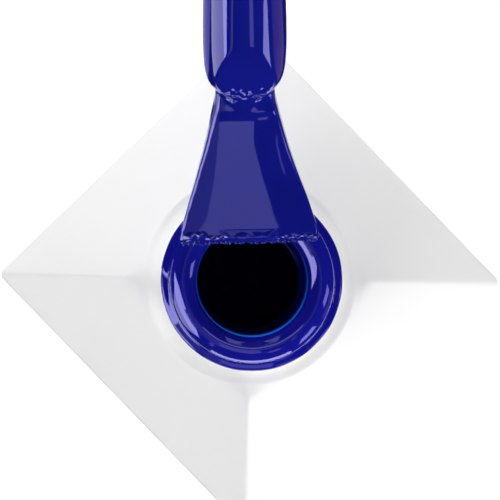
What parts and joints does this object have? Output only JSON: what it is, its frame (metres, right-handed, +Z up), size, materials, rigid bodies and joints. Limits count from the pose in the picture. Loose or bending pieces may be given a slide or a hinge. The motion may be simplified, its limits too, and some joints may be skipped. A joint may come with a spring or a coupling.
{
  "type": "nail lacquer bottle with brush",
  "caption": "Square white glass nail lacquer bottle standing open, with its coated brush applicator wiped across the rim and climbing away to a long cap.",
  "frame": {"origin": "centre of the bottle's foot, on the surface that it stands on", "axes": "+Z up along the bottle's axis, +-X and +-Y square to its flat sides; the brush leans away over the +X +Y corner"},
  "size_m": [0.0593, 0.0627, 0.0895],
  "materials": {
    "white_glass": "opaque white coated glass, glossy, smooth",
    "lacquer": "wet deep ultramarine lacquer, mirror gloss",
    "label": "plain matt film label",
    "steel": "polished stainless steel",
    "black_plastic": "fine satin black polypropylene",
    "gasket": "soft foamed polyethylene liner",
    "bristle": "nylon filament",
    "white_plastic": "satin white polypropylene"
  },
  "bodies": {
    "bottle": {"glass_bottle": "white_glass", "neck_lacquer": "lacquer", "lacquer_fill": "lacquer", "base_label": "label"},
    "ball_1": {"mixing_ball_1": "steel"},
    "ball_2": {"mixing_ball_2": "steel"},
    "applicator": {"brush_stem": "black_plastic", "stem_gasket": "gasket", "inner_cap": "black_plastic", "bristle_anchor": "steel", "bristle_root": "bristle", "stem_lacquer": "lacquer"},
    "tuft": {"bristle_tuft": "bristle", "tuft_lacquer": "lacquer"},
    "cap_shell": {"overcap": "white_plastic"}
  },
  "joints": [
    {"name": "brush_draw", "type": "slide", "parent": "bottle", "child": "applicator", "axis": [0.5601, 0.6112, 0.5592], "range_m": [0, 0.045]},
    {"name": "bristle_flex", "type": "hinge", "parent": "applicator", "child": "tuft", "pos_m": [0.0091, 0.00993, 0.05291], "axis": [0.7373, -0.6756, 0], "range_deg": [0, 14]},
    {"name": "overcap_pull", "type": "slide", "parent": "applicator", "child": "cap_shell", "axis": [0.5601, 0.6112, 0.5592], "range_m": [0, 0.03]},
    {"name": "ball_1_rattle", "type": "slide", "parent": "bottle", "child": "ball_1", "axis": [0, 0, 1], "range_m": [0, 0.022], "deforming": ["lacquer_fill"]},
    {"name": "ball_2_rattle", "type": "slide", "parent": "bottle", "child": "ball_2", "axis": [0, 0, 1], "range_m": [0, 0.022], "deforming": ["lacquer_fill"]}
  ],
  "couplings": [
    {"joint": "bristle_flex", "follows": "brush_draw", "rad_per_m": 5.42}
  ]
}
